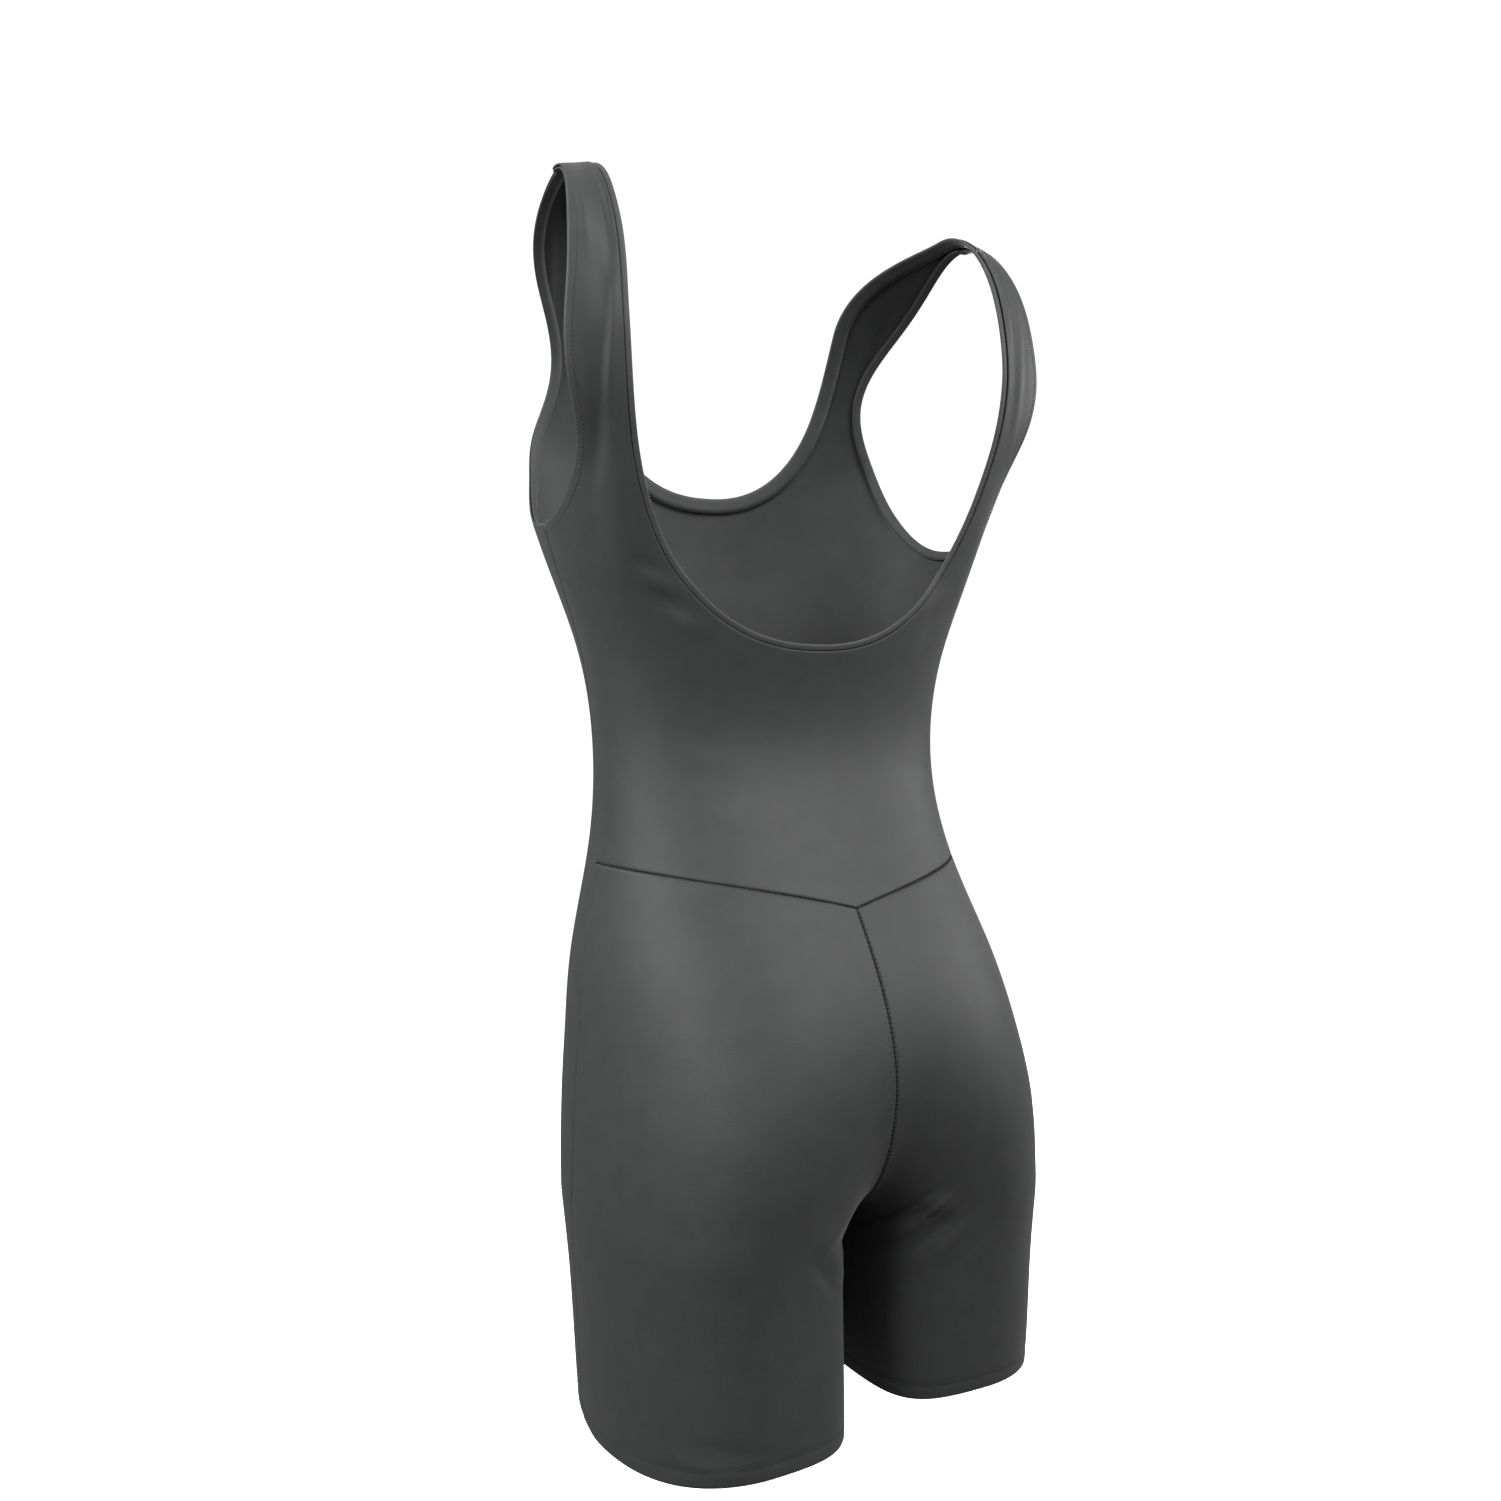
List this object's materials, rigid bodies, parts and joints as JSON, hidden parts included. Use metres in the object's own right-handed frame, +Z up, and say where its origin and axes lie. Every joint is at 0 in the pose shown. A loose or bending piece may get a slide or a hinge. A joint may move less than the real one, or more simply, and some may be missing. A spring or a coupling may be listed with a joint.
{
  "type": "unitard",
  "caption": "Sleeveless short-legged unitard with wide-set straps and a deep scoop back, hollow as when worn.",
  "frame": {"origin": "midway between the tops of the two shoulder straps, at their height", "axes": "+Z up, the garment's front faces -Y, and +X points to the wearer's left"},
  "size_m": [0.3496, 0.2912, 0.8005],
  "materials": {
    "jersey": "smooth matte stretch knit",
    "binding": "smooth matte stretch knit, folded double",
    "hem": "smooth matte stretch knit, turned up and stitched"
  },
  "bodies": {
    "root": {"front_panel": "jersey", "back_bodice": "jersey", "back_leg_left": "jersey", "back_leg_right": "jersey", "neck_binding": "binding", "armhole_binding_left": "binding", "armhole_binding_right": "binding", "hem_left": "hem", "hem_right": "hem"}
  },
  "joints": []
}
